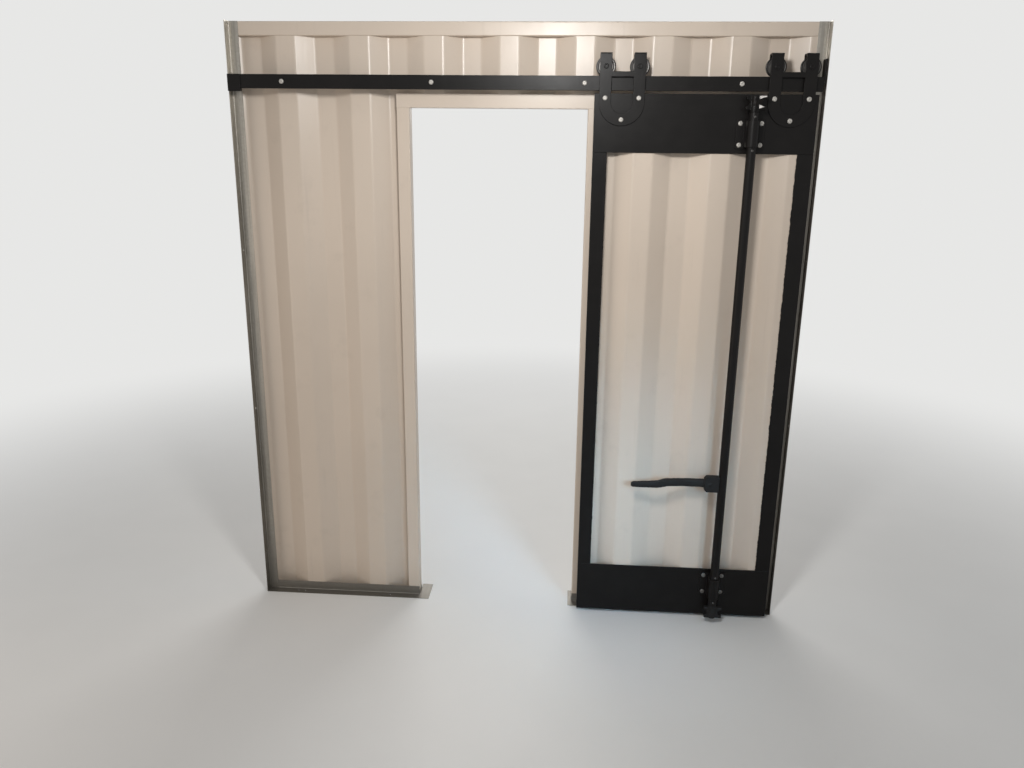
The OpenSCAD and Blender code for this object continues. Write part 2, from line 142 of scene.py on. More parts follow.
class Finish:
    """A node material for one finish, with one method that adds its nodes."""

    def __init__(self, name, tree=None):
        if tree is None:
            self.material = bpy.data.materials.new(name)
            self.material.use_nodes = True
            tree = self.material.node_tree
        self.tree = tree
        self.tree.nodes.clear()

    def add(self, kind, settings=None, sockets=None, out=None):
        """Adds a node, sets its settings and then its sockets, and returns one output."""
        node = self.tree.nodes.new(kind)
        for key, value in (settings or {}).items():
            setattr(node, key, value)
        shown = [s for s in node.inputs if s.enabled]
        for key, value in (sockets or {}).items():
            socket = shown[key] if isinstance(key, int) else next(s for s in shown if s.name == key)
            if isinstance(value, Sock):
                self.tree.links.new(value.socket, socket)
            elif socket.type == "RGBA" and len(value) == 3:
                socket.default_value = (*value, 1.0)
            else:
                socket.default_value = value
        outputs = [s for s in node.outputs if s.enabled]
        if not outputs:
            return None
        return Sock(self, outputs[0] if out is None else next(s for s in outputs if s.name == out))

    def place(self, stretch=(1.0, 1.0, 1.0)):
        """The place on the object, in metres, stretched along each axis."""
        at = self.add("ShaderNodeTexCoord", out="Object")
        if stretch == (1.0, 1.0, 1.0):
            return at
        return self.add("ShaderNodeVectorMath", {"operation": "MULTIPLY"}, {0: at, 1: stretch})

    def axes(self):
        """The place on the object as three numbers."""
        node = self.add("ShaderNodeSeparateXYZ", None, {"Vector": self.place()}, out="X").socket.node
        return [Sock(self, node.outputs[key]) for key in ("X", "Y", "Z")]

    def cloud(self, scale, detail=2.0, rough=0.5, stretch=(1.0, 1.0, 1.0)):
        """Soft noise from 0 to 1."""
        sockets = {"Vector": self.place(stretch), "Scale": scale, "Detail": detail, "Roughness": rough}
        return self.add("ShaderNodeTexNoise", None, sockets)

    def fade(self, value, low, high):
        """0 at low and 1 at high, smooth between them."""
        ends = {"Value": value, "From Min": min(low, high), "From Max": max(low, high)}
        rise = self.add("ShaderNodeMapRange", {"interpolation_type": "SMOOTHSTEP"}, ends)
        return 1.0 - rise if low > high else rise

    def blend(self, factor, first, second):
        """The first colour at 0 and the second at 1."""
        return self.add("ShaderNodeMix", {"data_type": "RGBA"}, {"Factor": factor, "A": first, "B": second})

    def bump(self, height, depth):
        """A normal from a height of 0 to 1 that stands for a depth in metres."""
        return self.add("ShaderNodeBump", None, {"Height": height, "Distance": depth})

    def surface(self, **sockets):
        """Closes the material with a Principled shader."""
        named = {key.replace("_", " ").replace("IOR level", "IOR Level"): value for key, value in sockets.items()}
        shader = self.add("ShaderNodeBsdfPrincipled", None, named)
        self.add("ShaderNodeOutputMaterial", None, {"Surface": shader})
        return self.material


def shade(colour, factor):
    """A colour made darker or lighter."""
    return tuple(min(1.0, c * factor) for c in colour)


# Finishes

def cream_enamel(name, paint, smear=None, seams=(), seam_top=0.0):
    """Rolled semi-gloss enamel on steel, dusty at the foot.

    smear takes the finish and two coordinates and gives a mask of black paint; seams are places along X
    where a thin upright line of painted shade darkens the paint, ending at seam_top.
    """
    f = Finish(name)
    x, _, z = f.axes()
    cloud = f.cloud(1.7, 3.0)
    patch = f.cloud(9.0, 4.0, 0.6)
    colour = f.blend(f.fade(cloud, 0.35, 0.7), paint.cream, shade(paint.cream, 0.955))
    colour = f.blend(f.fade(patch, 0.56, 0.74) * 0.5, colour, shade(paint.cream, 0.90))
    streak = f.cloud(5.0, 4.0, 0.6, (9.0, 9.0, 0.5))
    colour = f.blend(f.fade(streak, 0.60, 0.80) * 0.35, colour, shade(paint.cream, 0.84))
    foot = f.fade(z + patch * 0.16, 0.26, 0.06)
    dust = (foot * (0.35 + 0.5 * f.cloud(60.0, 3.0, 0.7))) * paint.grime
    colour = f.blend(dust, colour, (0.36, 0.30, 0.24))
    speck = f.cloud(150.0, 2.0, 0.6)
    colour = f.blend(f.fade(speck, 0.73, 0.78) * 0.35, colour, (0.33, 0.28, 0.22))
    # painted shade: a thin dark line in the corner where a sheet meets a jamb, up to the door head's top
    for place in seams:
        line = f.fade(abs(x - place), 0.0020, 0.0006) * f.fade(z, seam_top + 0.001, seam_top)
        colour = f.blend(line * 0.55, colour, (0.10, 0.082, 0.066))
    rough = paint.cream_rough + patch * 0.10 + foot * 0.22
    height = (f.cloud(620.0, 1.0) * 0.07 + f.cloud(210.0, 2.0) * 0.10
              + f.cloud(26.0, 2.0, 0.5, (1.0, 1.0, 0.35)) * 0.35 + cloud * 3.2)
    if smear:
        colour = f.blend(smear(f, x, z), colour, paint.black)
    return f.surface(Base_Color=colour, Roughness=rough, Normal=f.bump(height, 0.001))


def black_enamel(name, paint, along, rubbed=None):
    """Brushed satin black paint.

    along is the axis that the brush followed; rubbed takes the finish and its three coordinates and gives a
    mask of bare steel.
    """
    f = Finish(name)
    stretch = tuple(0.06 if axis == along else 1.0 for axis in "xyz")
    brush = f.cloud(420.0, 3.0, 0.6, stretch)
    cloud = f.cloud(11.0, 4.0, 0.6)
    colour = f.blend(f.fade(cloud, 0.35, 0.75), paint.black, shade(paint.black, 1.35))
    colour = f.blend(f.fade(f.cloud(75.0, 4.0, 0.65), 0.62, 0.82) * 0.25, colour, (0.030, 0.027, 0.026))
    dust = f.fade(f.cloud(500.0, 2.0, 0.7), 0.70, 0.82)
    colour = f.blend(dust * 0.14, colour, (0.12, 0.108, 0.098))
    rough = paint.black_rough + cloud * 0.14 + dust * 0.15
    height = brush * 0.05 + f.cloud(900.0, 1.0) * 0.025 + cloud * 0.5
    metal = 0.0
    if rubbed:
        metal = rubbed(f, *f.axes())
        colour = f.blend(metal, colour, (0.24, 0.23, 0.22))
    return f.surface(Base_Color=colour, Roughness=rough, Metallic=metal, Specular_IOR_level=0.15,
                     Normal=f.bump(height, 0.001))


def forged_black(name, paint, depth, rubbed=None):
    """Paint over hammered and scaled forged steel; rubbed is as in black_enamel, and its mask is painted a pale
    steel that is partly bare steel and partly a painted highlight.
    """
    f = Finish(name)
    dents = f.add("ShaderNodeTexVoronoi", {"feature": "SMOOTH_F1"},
                  {"Vector": f.place((0.6, 1.0, 1.0)), "Scale": 70.0, "Smoothness": 0.8}, out="Distance")
    pits = f.cloud(330.0, 5.0, 0.7)
    scale = f.cloud(48.0, 5.0, 0.7)
    colour = f.blend(f.fade(scale, 0.45, 0.72), shade(paint.black, 0.55), (0.0115, 0.0080, 0.0068))
    colour = f.blend(f.fade(pits, 0.62, 0.74) * 0.5, colour, (0.048, 0.029, 0.021))
    rough = 0.22 + scale * 0.24 + f.fade(pits, 0.5, 0.7) * 0.15
    height = dents * 1.3 + pits * 0.35 + scale * 0.8
    metal = 0.0
    if rubbed:
        # the rubbed mask is painted a pale steel: bare steel and a painted highlight in one
        bare = rubbed(f, *f.axes())
        colour = f.blend(bare, colour, (0.72, 0.69, 0.66))
        metal = bare * 0.5
    return f.surface(Base_Color=colour, Roughness=rough, Metallic=metal, Specular_IOR_level=0.12,
                     Normal=f.bump(height, depth))


def spangled_zinc(name, steel, along):
    """Galvanised sheet: bright grains with dull ones between them, and streaks of handling along one axis."""
    f = Finish(name)
    grain = f.add("ShaderNodeTexVoronoi", None, {"Vector": f.place(), "Scale": 1.0 / steel.spangle}, out="Color")
    tone = Sock(f, f.add("ShaderNodeSeparateColor", None, {"Color": grain}, out="Red").socket)
    fine = f.cloud(190.0, 4.0, 0.6, tuple(0.25 if axis == along else 1.0 for axis in "xyz"))
    streak = f.cloud(90.0, 4.0, 0.65, tuple(0.02 if axis == along else 1.0 for axis in "xyz"))
    stain = f.fade(f.cloud(7.0, 4.0, 0.6, tuple(0.4 if axis == along else 2.0 for axis in "xyz")), 0.50, 0.74)
    colour = f.blend(tone, shade(steel.zinc, 0.84), steel.zinc)
    colour = f.blend(f.fade(streak, 0.40, 0.70) * 0.7, colour, shade(steel.zinc, 0.55))
    colour = f.blend(fine * 0.25, colour, shade(steel.zinc, 0.62))
    colour = f.blend(stain * 0.35, colour, shade(steel.zinc, 0.80))
    # painted shade: the zinc darkens towards the floor, where it also turns rougher
    foot = f.fade(f.axes()[2] + streak * 0.10, 0.40, 0.04)
    colour = f.blend(foot * 0.6, colour, shade(steel.zinc, 0.30))
    rough = 0.24 + tone * 0.10 + streak * 0.16 + stain * 0.18 + foot * 0.12
    metal = 0.95 - stain * 0.30
    height = tone * 0.03 + fine * 0.04 + streak * 0.06 + f.cloud(9.0, 2.0) * 0.8
    return f.surface(Base_Color=colour, Roughness=rough, Metallic=metal, Normal=f.bump(height, 0.001))


def dull_plating(name, steel):
    """Zinc plating on bolt heads, a little grey and handled."""
    f = Finish(name)
    mottle = f.cloud(260.0, 4.0, 0.65)
    smear = f.cloud(60.0, 3.0, 0.6)
    colour = f.blend(f.fade(mottle, 0.35, 0.70), steel.bolt, shade(steel.bolt, 0.80))
    colour = f.blend(f.fade(smear, 0.55, 0.75) * 0.5, colour, shade(steel.bolt, 0.62))
    # painted shade: the plating darkens towards the floor
    colour = f.blend(f.fade(f.axes()[2], 0.45, 0.20) * 0.8, colour, shade(steel.bolt, 0.22))
    rough = 0.46 + mottle * 0.20
    height = mottle * 0.05 + f.cloud(1400.0, 1.0) * 0.02
    return f.surface(Base_Color=colour, Roughness=rough, Metallic=0.6, Normal=f.bump(height, 0.001))


# Meshes

def body_of(node):
    return NODES[node]["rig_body"]


def joined(node):
    """The faces of a CAD node with its seams closed and its flat triangles merged."""
    bm = bmesh.new()
    bm.from_mesh(NODES[node].data)
    bmesh.ops.remove_doubles(bm, verts=bm.verts, dist=SEAM_GAP)
    bmesh.ops.dissolve_limit(bm, angle_limit=math.radians(0.6), verts=bm.verts, edges=bm.edges)
    bm.normal_update()
    return bm


def soften(bm, pick, width, segments):
    """Rounds the edges that pick accepts."""
    edges = [e for e in bm.edges if len(e.link_faces) == 2 and pick(e)]
    if not edges:
        raise RuntimeError("no edge was found to soften")
    bmesh.ops.bevel(bm, geom=edges, offset=width, segments=segments, profile=0.5, affect="EDGES",
                    clamp_overlap=False)


def crisp(edge):
    """An edge where two faces meet at a clear corner."""
    return edge.calc_face_angle(0.0) > math.radians(40)


def pressed(edge):
    """An upright fold of a corrugated sheet."""
    run = edge.verts[1].co - edge.verts[0].co
    return math.radians(15) < edge.calc_face_angle(0.0) < math.radians(38) and abs(run.z) > 0.5 * run.length


def inner_bend(edge):
    """The long edge in the inside corner of an angle."""
    return edge.calc_length() > LONG_EDGE and not edge.is_convex and crisp(edge)


def outer_corner(low, high):
    """Accepts the long edges that lie on the corner lines of a box."""
    def pick(edge):
        if edge.calc_length() < LONG_EDGE:
            return False
        for along in range(3):
            across = [(along + 1) % 3, (along + 2) % 3]
            if all(min(abs(v.co[i] - low[i]), abs(v.co[i] - high[i])) < NEAR for v in edge.verts for i in across):
                return True
        return False
    return pick


def new_piece(name, bm, node, material, stands_for=(), angle=35.0):
    """Makes a piece from a bmesh that rides with the node's body."""
    bm.normal_update()
    mesh = bpy.data.meshes.new(name)
    bm.to_mesh(mesh)
    bm.free()
    mesh.shade_smooth()
    mesh.set_sharp_from_angle(angle=math.radians(angle))
    mesh.materials.append(material)
    piece = bpy.data.objects.new(name, mesh)
    bpy.context.scene.collection.objects.link(piece)
    even = piece.modifiers.new("even normals", "WEIGHTED_NORMAL")
    even.keep_sharp = True
    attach(piece, body_of(node))
    if stands_for:
        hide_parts(*stands_for)
    return piece


def lathe(bm, profile, place, steps=AXLE_STEPS, bored=False):
    """Turns a list of (along, radius) round an axis along Y through place.

    A radius of 0 closes an end; bored joins the last ring to the first, which makes the wall of a bore.
    """
    rings = []
    for along, radius in profile:
        if radius <= 0.0:
            rings.append([bm.verts.new(place + spun(along, 0.0, 0.0))])
        else:
            rings.append([bm.verts.new(place + spun(along, radius, turn)) for turn in turns_of(steps)])
    bridge_all(bm, rings + rings[:1] if bored else rings)


def turns_of(steps):
    return [2 * math.pi * k / steps for k in range(steps)]


def spun(along, radius, turn):
    """A point at a turn round the Y axis."""
    return Vector((radius * math.cos(turn), along, radius * math.sin(turn)))


def bridge_all(bm, rings):
    """Faces between rings that follow each other; a ring of one vertex is a tip."""
    for first, second in zip(rings, rings[1:]):
        count = max(len(first), len(second))
        for k in range(count):
            n = (k + 1) % count
            if len(first) == 1:
                bm.faces.new((first[0], second[k], second[n]))
            elif len(second) == 1:
                bm.faces.new((first[n], first[k], second[0]))
            else:
                bm.faces.new((first[n], first[k], second[k], second[n]))


def hexed(radius, turn):
    """Distance from the middle of a hexagon to its side, at a turn; radius is to its flats."""
    return radius / math.cos((turn % (math.pi / 3)) - math.pi / 6)


def button_head(bm, place, radius, height, socket, deep, shank_to, shank_r):
    """Flat-topped round head with a hexagon socket, facing -Y, and its shank behind it."""
    rings = []

    def ring(along, reach):
        rings.append([bm.verts.new(place + spun(along, reach(t), t)) for t in turns_of(HEAD_STEPS)])

    flat, rim = socket / 2, 0.0010
    face = max(flat * 1.25, radius * 0.60)
    rings.append([bm.verts.new(place + Vector((0.0, -height + deep * 1.15, 0.0)))])
    ring(-height + deep, lambda t: hexed(flat * 0.96, t))
    ring(-height + 0.0003, lambda t: hexed(flat, t))
    ring(-height, lambda t: hexed(flat * 1.04, t))
    ring(-height, lambda t: face)
    for turn in (22, 44, 64, 80):
        a = math.radians(turn)
        ring(-rim - (height - rim) * math.cos(a), lambda t, a=a: face + (radius - face) * math.sin(a))
    ring(-rim, lambda t: radius)
    ring(-0.0002, lambda t: radius)
    ring(0.0, lambda t: radius - 0.0003)
    ring(0.0, lambda t: shank_r)
    ring(shank_to, lambda t: shank_r)
    rings.append([bm.verts.new(place + Vector((0.0, shank_to, 0.0)))])
    bridge_all(bm, rings)


def hex_nut(bm, place, flat, height, bore):
    """Chamfered hexagon nut on +Y of place, with a washer under it."""
    washer, foot = 0.0016, 0.0018
    lathe(bm, [(0.0, bore), (0.0, flat * 1.45), (0.0012, flat * 1.5), (washer, flat * 1.42), (washer, bore)],
          place, HEAD_STEPS, bored=True)
    rings = []
    for along, reach, slope in ((washer, lambda t: bore, 0.0), (foot, lambda t: flat * 0.98, 0.0),
                                (foot, lambda t: hexed(flat, t), 0.5), (height, lambda t: hexed(flat, t), -0.55),
                                (height, lambda t: flat * 0.96, 0.0), (height, lambda t: bore, 0.0),
                                (height - 0.001, lambda t: bore * 0.9, 0.0)):
        rings.append([bm.verts.new(place + spun(along + slope * (reach(t) - flat), reach(t), t))
                      for t in turns_of(HEAD_STEPS)])
    bridge_all(bm, rings + rings[:1])


def corner_screw(bm, place, facing, size, thick):
    """Pan head with a socket on a sheet of the given thickness; facing is the way that the head looks."""
    turn = Vector((0.0, -1.0, 0.0)).rotation_difference(Vector(facing)).to_matrix()
    start = len(bm.verts)
    r, h = size.screw_head / 2, size.screw_height
    button_head(bm, Vector(), r, h, r * 0.62, h * 0.55, thick * 0.8, 0.0023)
    bm.verts.ensure_lookup_table()
    for v in list(bm.verts)[start:]:
        v.co = turn @ v.co + Vector(place)


def bolt_row(bm, places, front, back):
    """Bolt heads on the plane y = front with shanks to y = back."""
    size = settings().fastening
    for x, z in places:
        button_head(bm, Vector((x, front, z)), size.bolt_head / 2, size.bolt_height, size.socket,
                    size.socket_depth, back - front, SHANK_RADIUS)


# Settings

class PaintSettings(bpy.types.PropertyGroup):
    cream: FloatVectorProperty(name="Cream", description="Enamel of the wall, its frame and the leaf's sheet",
                               subtype="COLOR", size=3, min=0.0, max=1.0, default=(0.645, 0.55, 0.46))
    black: FloatVectorProperty(name="Black", description="Paint of the door's frame, track and hangers",
                               subtype="COLOR", size=3, min=0.0, max=1.0, default=(0.0066, 0.0058, 0.0055))
    cream_rough: FloatProperty(name="Cream roughness", description="Lower is glossier", min=0.0, max=1.0,
                               subtype="FACTOR", default=0.27)
    black_rough: FloatProperty(name="Black roughness", description="Lower is glossier", min=0.0, max=1.0,
                               subtype="FACTOR", default=0.27)
    grime: FloatProperty(name="Grime", description="Dust on the paint near the floor", min=0.0, max=1.0,
                         subtype="FACTOR", default=0.45)
    ragged: FloatProperty(name="Ragged edge", description="How far the black paint strays onto the leaf's sheet",
                          min=0.0, max=0.02, unit="LENGTH", default=0.004)


class SteelSettings(bpy.types.PropertyGroup):
    zinc: FloatVectorProperty(name="Zinc", description="Galvanised angles", subtype="COLOR", size=3, min=0.0,
                              max=1.0, default=(0.40, 0.375, 0.335))
    bolt: FloatVectorProperty(name="Bolt", description="Plating of the bolt heads", subtype="COLOR", size=3,
                              min=0.0, max=1.0, default=(0.46, 0.44, 0.41))
    spangle: FloatProperty(name="Spangle", description="Size of the zinc's grains", unit="LENGTH", min=0.002,
                           max=0.05, default=0.008)
    tube_edge: FloatProperty(name="Tube corner", description="Outer corner radius of the square tubes",
                             unit="LENGTH", min=0.001, max=0.008, default=0.0045)
    rib_fold: FloatProperty(name="Rib fold", description="Half the width of a pressed fold", unit="LENGTH",
                            min=0.001, max=0.02, default=0.006)
    angle: FloatProperty(name="Angle thickness", description="Thickness of the galvanised angles", unit="LENGTH",
                         min=0.001, max=0.003, default=0.0015)
    bend: FloatProperty(name="Angle bend", description="Inside radius of the galvanised angles' bend",
                        unit="LENGTH", min=0.0005, max=0.006, default=0.0025)


class FasteningSettings(bpy.types.PropertyGroup):
    bolt_head: FloatProperty(name="Bolt head", description="Diameter of the bolt heads", unit="LENGTH",
                             min=0.012, max=0.0175, default=0.0175)
    bolt_height: FloatProperty(name="Bolt height", description="Height of the bolt heads", unit="LENGTH",
                               min=0.003, max=0.0045, default=0.0045)
    socket: FloatProperty(name="Socket", description="Width of a bolt's socket across its flats", unit="LENGTH",
                          min=0.003, max=0.01, default=0.005)
    socket_depth: FloatProperty(name="Socket depth", description="Depth of a bolt's socket", unit="LENGTH",
                                min=0.001, max=0.005, default=0.0022)
    screw_head: FloatProperty(name="Screw head", description="Diameter of the angles' screw heads",
                              unit="LENGTH", min=0.005, max=0.015, default=0.0095)
    screw_height: FloatProperty(name="Screw height", description="Height of the angles' screw heads",
                                unit="LENGTH", min=0.001, max=0.005, default=0.003)


class HandleSettings(bpy.types.PropertyGroup):
    hammer: FloatProperty(name="Hammer marks", description="Depth of the handle's hammer marks", unit="LENGTH",
                          min=0.0, max=0.003, default=0.0009)
    squareness: FloatProperty(name="Squareness", description="2 is a round section, higher is squarer", min=2.0,
                              max=8.0, default=3.2)
    stations: IntProperty(name="Stations", description="Cross sections along the handle", min=20, max=200,
                          default=96)


class StageSettings(bpy.types.PropertyGroup):
    floor: FloatVectorProperty(name="Floor", description="Colour of the floor and background", subtype="COLOR",
                               size=3, min=0.0, max=1.0, default=(0.80, 0.80, 0.79))
    ambient: FloatProperty(name="Ambient", description="Strength of the light from all round", min=0.0, max=2.0,
                           default=0.29)
    key: FloatProperty(name="Key", description="Power of the lamp in front", unit="POWER", min=0.0, max=500.0,
                       default=20.5)
    left: FloatProperty(name="Left", description="Power of the soft lamp at the left", unit="POWER", min=0.0,
                        max=500.0, default=12.0)
    cool: FloatProperty(name="Cool", description="Power of the cool lamp at the right, aimed low", unit="POWER",
                        min=0.0, max=500.0, default=1.6)
    back: FloatProperty(name="Back", description="Power of the lamp behind the wall", unit="POWER", min=0.0,
                        max=500.0, default=60.0)
    lens: FloatProperty(name="Lens", description="Focal length in millimetres", min=10.0, max=200.0,
                        default=28.90)


class DoorSettings(bpy.types.PropertyGroup):
    """All settings of the wall and its door."""
    paint: PointerProperty(type=PaintSettings)
    steel: PointerProperty(type=SteelSettings)
    fastening: PointerProperty(type=FasteningSettings)
    handle: PointerProperty(type=HandleSettings)
    stage: PointerProperty(type=StageSettings)


def settings():
    return bpy.context.scene.hung_door


def finish_named(name, make):
    """A finish that several pieces share, made once."""
    return bpy.data.materials.get(name) or make()


def black(along):
    return finish_named("black_enamel_" + along,
                        lambda: black_enamel("black_enamel_" + along, settings().paint, along))


def cream():
    """The wall's enamel, with a line of painted shade where its sheets meet the jambs."""
    seams = (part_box("jamb_left")[0].x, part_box("jamb_right")[1].x)
    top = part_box("door_head")[1].z
    return finish_named("cream_enamel",
                        lambda: cream_enamel("cream_enamel", settings().paint, seams=seams, seam_top=top))


def forged():
    return finish_named("forged_black", lambda: forged_black("forged_black", settings().paint, 0.0016))


def plated():
    return finish_named("dull_plating", lambda: dull_plating("dull_plating", settings().steel))


def zinced(along):
    return finish_named("spangled_zinc_" + along,
                        lambda: spangled_zinc("spangled_zinc_" + along, settings().steel, along))


def soft_copy(node, material, width, segments=2, first=()):
    """A piece with the node's form and worn edges that stays inside the node's box.

    first lists (pick, width, segments) of edges rounded before the others; a width of 0 leaves the others.
    """
    bm = joined(node)
    for pick, wide, steps in first:
        soften(bm, pick, wide, steps)
    if width:
        soften(bm, crisp, width, segments)
    low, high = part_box(node)
    for v in bm.verts:
        v.co = Vector(max(a, min(b, c)) for a, b, c in zip(low, high, v.co))
    return new_piece(node + "_piece", bm, node, material, (node,))


# Wall

class WALL_OT_sheets(bpy.types.Operator):
    """Makes the wall's corrugated sheets with rounded folds"""
    bl_idname = "hung_door.sheets"
    bl_label = "Wall Sheets"

    def execute(self, context):
        for node in ("wall_sheet_left", "wall_sheet_over_door", "wall_sheet_right"):
            bm = joined(node)
            soften(bm, pressed, settings().steel.rib_fold, 5)
            new_piece(node + "_piece", bm, node, cream(), (node,), 30.0)
        return {"FINISHED"}


class WALL_OT_tubes(bpy.types.Operator):
    """Makes the header, the jambs and the door head with the round corners of rolled tube"""
    bl_idname = "hung_door.tubes"
    bl_label = "Wall Tubes"

    def execute(self, context):
        edge = settings().steel.tube_edge
        for node, radius in (("header", edge), ("jamb_left", edge), ("jamb_right", edge), ("door_head", edge / 3)):
            corner = outer_corner(*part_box(node))
            soft_copy(node, cream(), 0.0, first=[(corner, radius, 4)])
        return {"FINISHED"}


class WALL_OT_angles(bpy.types.Operator):
    """Makes the galvanised angles and floor plates and the screws that hold them"""
    bl_idname = "hung_door.angles"
    bl_label = "Galvanised Angles"

    def execute(self, context):
        bend = [(inner_bend, settings().steel.bend, 4)]
        for node, along in (("corner_angle_left", "z"), ("corner_angle_right", "z"),
                            ("base_angle_left", "x"), ("base_angle_right", "x")):
            soft_copy(node, zinced(along), ZINC_EDGE, first=bend)
        for node in ("foot_plate_left", "foot_plate_right"):
            soft_copy(node, zinced("y"), ZINC_EDGE)
        size, thick = settings().fastening, settings().steel.angle
        for side, way in (("left", 1.0), ("right", -1.0)):
            low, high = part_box("corner_angle_" + side)
            middle_y = (low.y + high.y) / 2
            outside = low.x if way > 0 else high.x
            bm = bmesh.new()
            for share in CORNER_SCREWS:
                corner_screw(bm, (outside + way * thick, middle_y, high.z * share), (way, 0.0, 0.0), size, thick)
            new_piece("corner_screws_" + side, bm, "corner_angle_" + side, plated())
            low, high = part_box("base_angle_" + side)
            bm = bmesh.new()
            for share in BASE_SCREWS:
                corner_screw(bm, (low.x + share * (high.x - low.x), middle_y, thick), (0.0, 0.0, 1.0), size, thick)
            new_piece("floor_screws_" + side, bm, "base_angle_" + side, plated())
        return {"FINISHED"}


# Track

class TRACK_OT_bar(bpy.types.Operator):
    """Makes the track, its spacers and its end stops"""
    bl_idname = "hung_door.track"
    bl_label = "Track"

    def execute(self, context):
        soft_copy("track", black("x"), CUT_EDGE, 3)
        for node in ("track_spacers", "end_stop_left", "end_stop_right"):
            soft_copy(node, black("z"), CUT_EDGE)
        return {"FINISHED"}


class TRACK_OT_bolts(bpy.types.Operator):
    """Makes the track's bolts with socket heads in front and nuts behind the wall"""
    bl_idname = "hung_door.track_bolts"
    bl_label = "Track Bolts"

    def execute(self, context):
        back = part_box("track_bolts")[1].y
        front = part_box("track")[0].y
        bm = bmesh.new()
        middles = solid_middles("track_bolts")
        bolt_row(bm, middles, front, back)
        for x, z in middles:
            hex_nut(bm, Vector((x, back - 0.010, z)), 0.0080, 0.008, SHANK_RADIUS)
        new_piece("track_bolt_set", bm, "track_bolts", plated(), ("track_bolts",))
        return {"FINISHED"}


def solid_middles(node, apart=0.002):
    """The middles along X and Z of a node's solids; middles nearer than apart count once."""
    bm = joined(node)
    left = set(bm.verts)
    found = []
    while left:
        todo = [left.pop()]
        group = []
        while todo:
            v = todo.pop()
            group.append(v.co.copy())
            for e in v.link_edges:
                w = e.other_vert(v)
                if w in left:
                    left.remove(w)
                    todo.append(w)
        xs, zs = [c.x for c in group], [c.z for c in group]
        found.append(((min(xs) + max(xs)) / 2, (min(zs) + max(zs)) / 2))
    bm.free()
    merged = []
    for x, z in sorted(found):
        if not any(abs(x - a) < apart and abs(z - b) < apart for a, b in merged):
            merged.append((x, z))
    return merged


# Leaf

class LEAF_OT_frame(bpy.types.Operator):
    """Makes the leaf's plates and stiles"""
    bl_idname = "hung_door.leaf_frame"
    bl_label = "Leaf Frame"

    def execute(self, context):
        for node in ("leaf_top_plate", "leaf_bottom_plate"):
            soft_copy(node, black("x"), PLATE_EDGE, 3)
        for node in ("leaf_stile_left", "leaf_stile_right"):
            soft_copy(node, black("z"), PLATE_EDGE, 3)
        return {"FINISHED"}


class LEAF_OT_sheet(bpy.types.Operator):
    """Makes the leaf's corrugated sheet, with black paint that strays onto it along the frame"""
    bl_idname = "hung_door.leaf_sheet"
    bl_label = "Leaf Sheet"

    def execute(self, context):
        paint = settings().paint
        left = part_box("leaf_stile_left")[1].x
        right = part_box("leaf_stile_right")[0].x

        def smear(f, x, z):
            wander = (f.cloud(38.0, 4.0, 0.7) - 0.40) * (2.6 * paint.ragged)
            return f.fade((left - x).top(x - right) + wander, -0.0006, 0.0004)

        material = cream_enamel("cream_enamel_leaf", paint, smear)
        bm = joined("leaf_sheet")
        soften(bm, pressed, settings().steel.rib_fold, 5)
        new_piece("leaf_sheet_piece", bm, "leaf_sheet", material, ("leaf_sheet",), 30.0)
        return {"FINISHED"}


# Hangers

class HANGER_OT_straps(bpy.types.Operator):
    """Makes the horseshoe hangers with bent tops"""
    bl_idname = "hung_door.hangers"
    bl_label = "Hangers"

    def execute(self, context):
        for node in ("hanger_left", "hanger_right"):
            low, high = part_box(node)

            def bend(edge, top=high.z, front=low.y, back=high.y):
                a, b = (v.co for v in edge.verts)
                level = abs(a.z - top) < NEAR and abs(b.z - top) < NEAR
                end = min(abs(a.y - front) + abs(b.y - front), abs(a.y - back) + abs(b.y - back)) < 2 * NEAR
                return level and end and abs(a.x - b.x) > 0.01

            soft_copy(node, black("z"), CUT_EDGE, first=[(bend, HANGER_BEND, 4)])
        return {"FINISHED"}


class HANGER_OT_bolts(bpy.types.Operator):
    """Makes the hangers' bolts"""
    bl_idname = "hung_door.hanger_bolts"
    bl_label = "Hanger Bolts"

    def execute(self, context):
        bm = bmesh.new()
        bolt_row(bm, solid_middles("hanger_bolts"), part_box("hanger_left")[0].y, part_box("hanger_bolts")[1].y)
        new_piece("hanger_bolt_set", bm, "hanger_bolts", plated(), ("hanger_bolts",))
        return {"FINISHED"}


